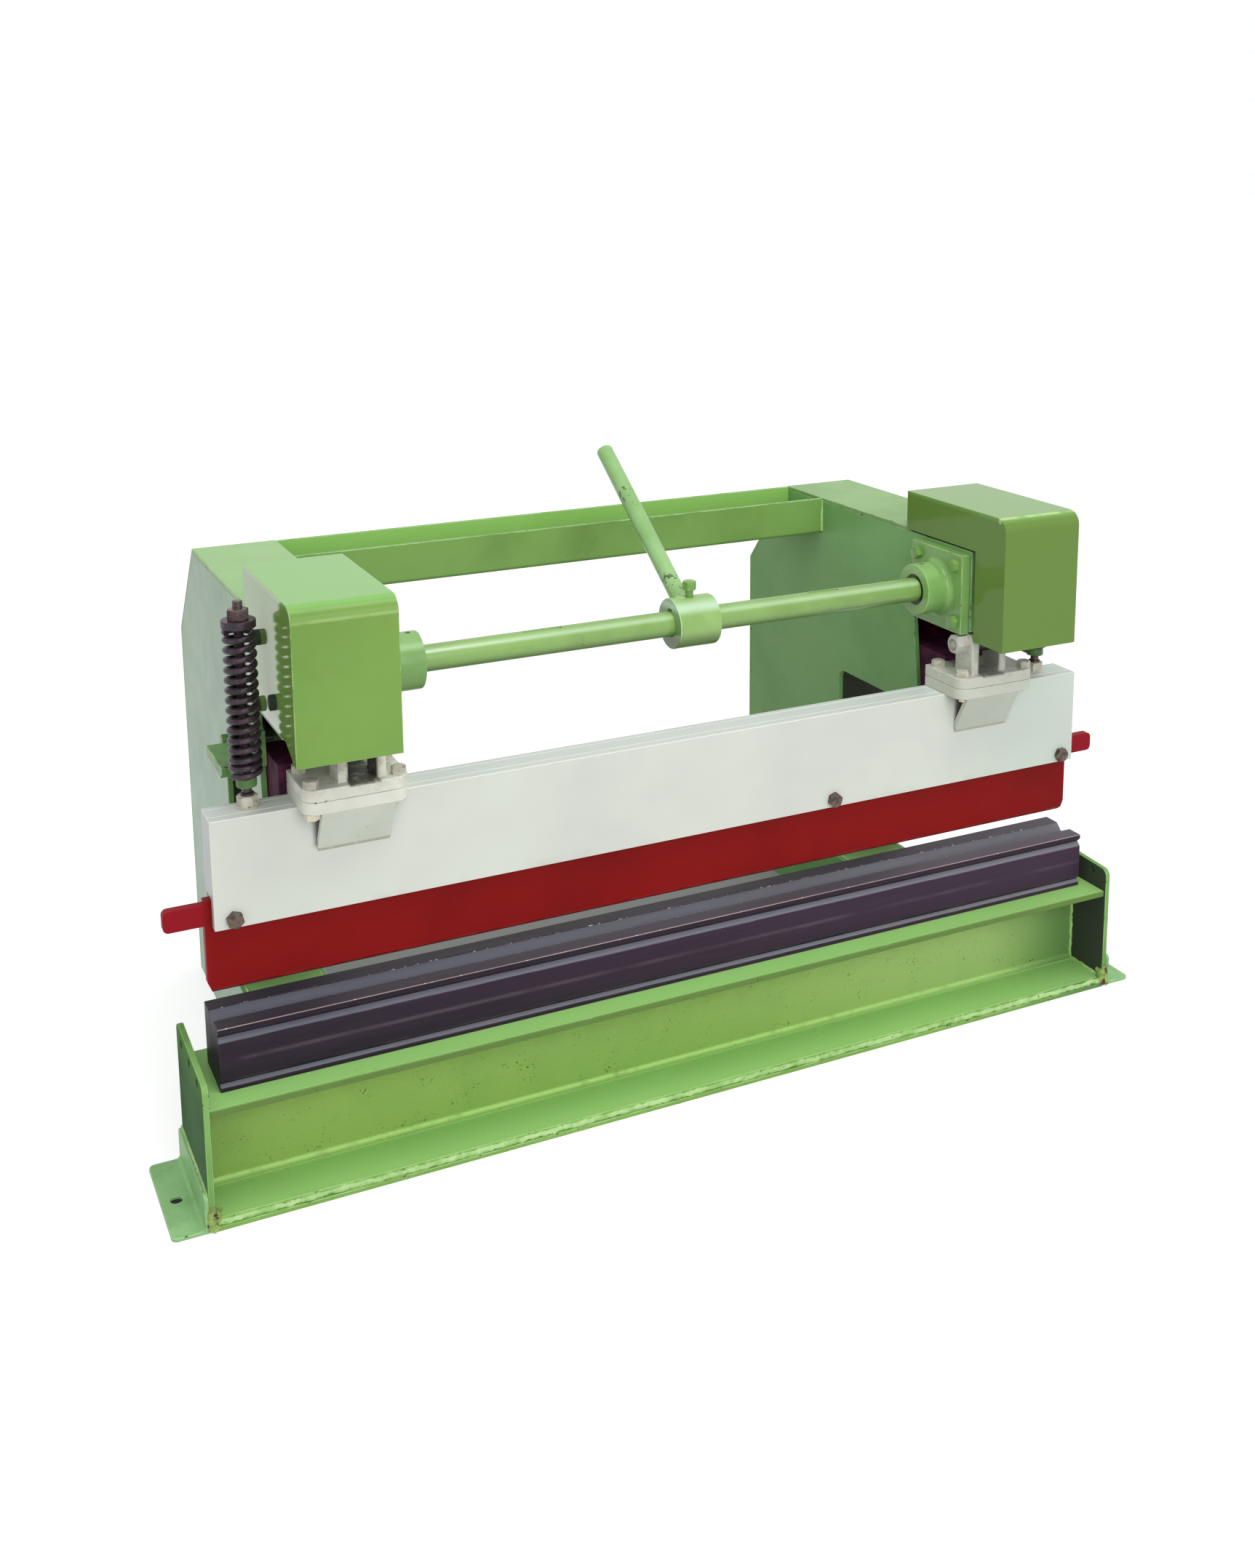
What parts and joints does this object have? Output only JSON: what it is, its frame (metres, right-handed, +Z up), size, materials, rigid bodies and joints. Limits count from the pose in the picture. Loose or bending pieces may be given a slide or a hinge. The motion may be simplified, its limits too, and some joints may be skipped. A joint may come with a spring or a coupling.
{
  "type": "manual sheet metal folding press",
  "caption": "Hand-lever folding press for sheet metal: an eccentric shaft drives a long blade down into a vee die between two C-shaped frames, and springs lift it.",
  "frame": {"origin": "on the floor, midway between the two foot bolt holes, under the bending line", "axes": "+X along the blade to the operator's right, +Y from the operator to the back, +Z up"},
  "size_m": [1.468, 0.726, 0.8493],
  "materials": {
    "green_paint": "gloss enamel",
    "cream_paint": "satin enamel",
    "red_paint": "satin enamel",
    "dark_steel": "oiled, milled",
    "cast_part": "machined and oiled",
    "bronze": "turned"
  },
  "bodies": {
    "frame": {"base_beam": "green_paint", "base_plate": "green_paint", "end_plate_left": "green_paint", "end_plate_right": "green_paint", "foot_angle_left": "green_paint", "foot_angle_right": "green_paint", "die_block": "dark_steel", "frame_plate_left_inner": "green_paint", "frame_plate_right_inner": "green_paint", "frame_plate_left_outer": "green_paint", "frame_plate_right_outer": "green_paint", "rear_cover_left": "green_paint", "rear_cover_right": "green_paint", "throat_plate_left": "green_paint", "throat_plate_right": "green_paint", "frame_spacers": "dark_steel", "tie_channel": "green_paint", "hood_left": "green_paint", "hood_right": "green_paint", "bearing_left_inner": "green_paint", "bearing_right_inner": "green_paint", "bearing_left_outer": "cast_part", "bearing_right_outer": "cast_part", "bearing_bush_left": "bronze", "bearing_bush_right": "bronze", "bearing_bolts": "green_paint", "hood_bolts": "green_paint", "spring_bracket_left": "green_paint", "spring_bracket_right": "green_paint", "bracket_bolts": "dark_steel", "return_spring_left": "dark_steel", "return_spring_right": "dark_steel"},
    "shaft": {"drive_shaft": "green_paint", "shaft_keys": "dark_steel", "eccentric_left": "cast_part", "eccentric_right": "cast_part", "handle_hub": "green_paint", "handle_bar": "green_paint", "hub_screw": "green_paint"},
    "ram": {"ram_front_plate": "cream_paint", "ram_back_plate": "cream_paint", "ram_top_plate": "cream_paint", "ram_end_plates": "cream_paint", "backing_bar": "dark_steel", "packing_bar": "dark_steel", "punch_blade": "red_paint", "clamp_bolts": "dark_steel", "ram_guides": "dark_steel", "clevis_base_left": "cream_paint", "clevis_base_right": "cream_paint", "clevis_left": "cream_paint", "clevis_right": "cream_paint", "clevis_bolts": "cream_paint", "link_pins": "cream_paint", "rod_feet": "cream_paint", "spring_rods": "dark_steel", "spring_washers": "dark_steel", "rod_nuts": "dark_steel"},
    "link_left": {"link_left": "cast_part"},
    "link_right": {"link_right": "cast_part"}
  },
  "joints": [
    {"name": "shaft_turn", "type": "hinge", "parent": "frame", "child": "shaft", "pos_m": [0, 0.028, 0.646], "axis": [1, 0, 0], "range_deg": [0, 90]},
    {"name": "ram_slide", "type": "slide", "parent": "frame", "child": "ram", "axis": [0, 0, -1], "range_m": [0, 0.04], "stiffness_N_per_m": 60000, "springref_m": -0.016, "deforming": ["return_spring_left", "return_spring_right"]},
    {"name": "link_left_turn", "type": "hinge", "parent": "shaft", "child": "link_left", "pos_m": [-0.47, 0.008, 0.666], "axis": [1, 0, 0], "range_deg": [-90, 0]},
    {"name": "link_right_turn", "type": "hinge", "parent": "shaft", "child": "link_right", "pos_m": [0.47, 0.008, 0.666], "axis": [1, 0, 0], "range_deg": [-90, 0]}
  ],
  "couplings": [
    {"joint": "ram_slide", "follows": "shaft_turn", "m_per_rad": 0.02546},
    {"joint": "link_left_turn", "follows": "shaft_turn", "ratio": -1},
    {"joint": "link_right_turn", "follows": "shaft_turn", "ratio": -1}
  ]
}
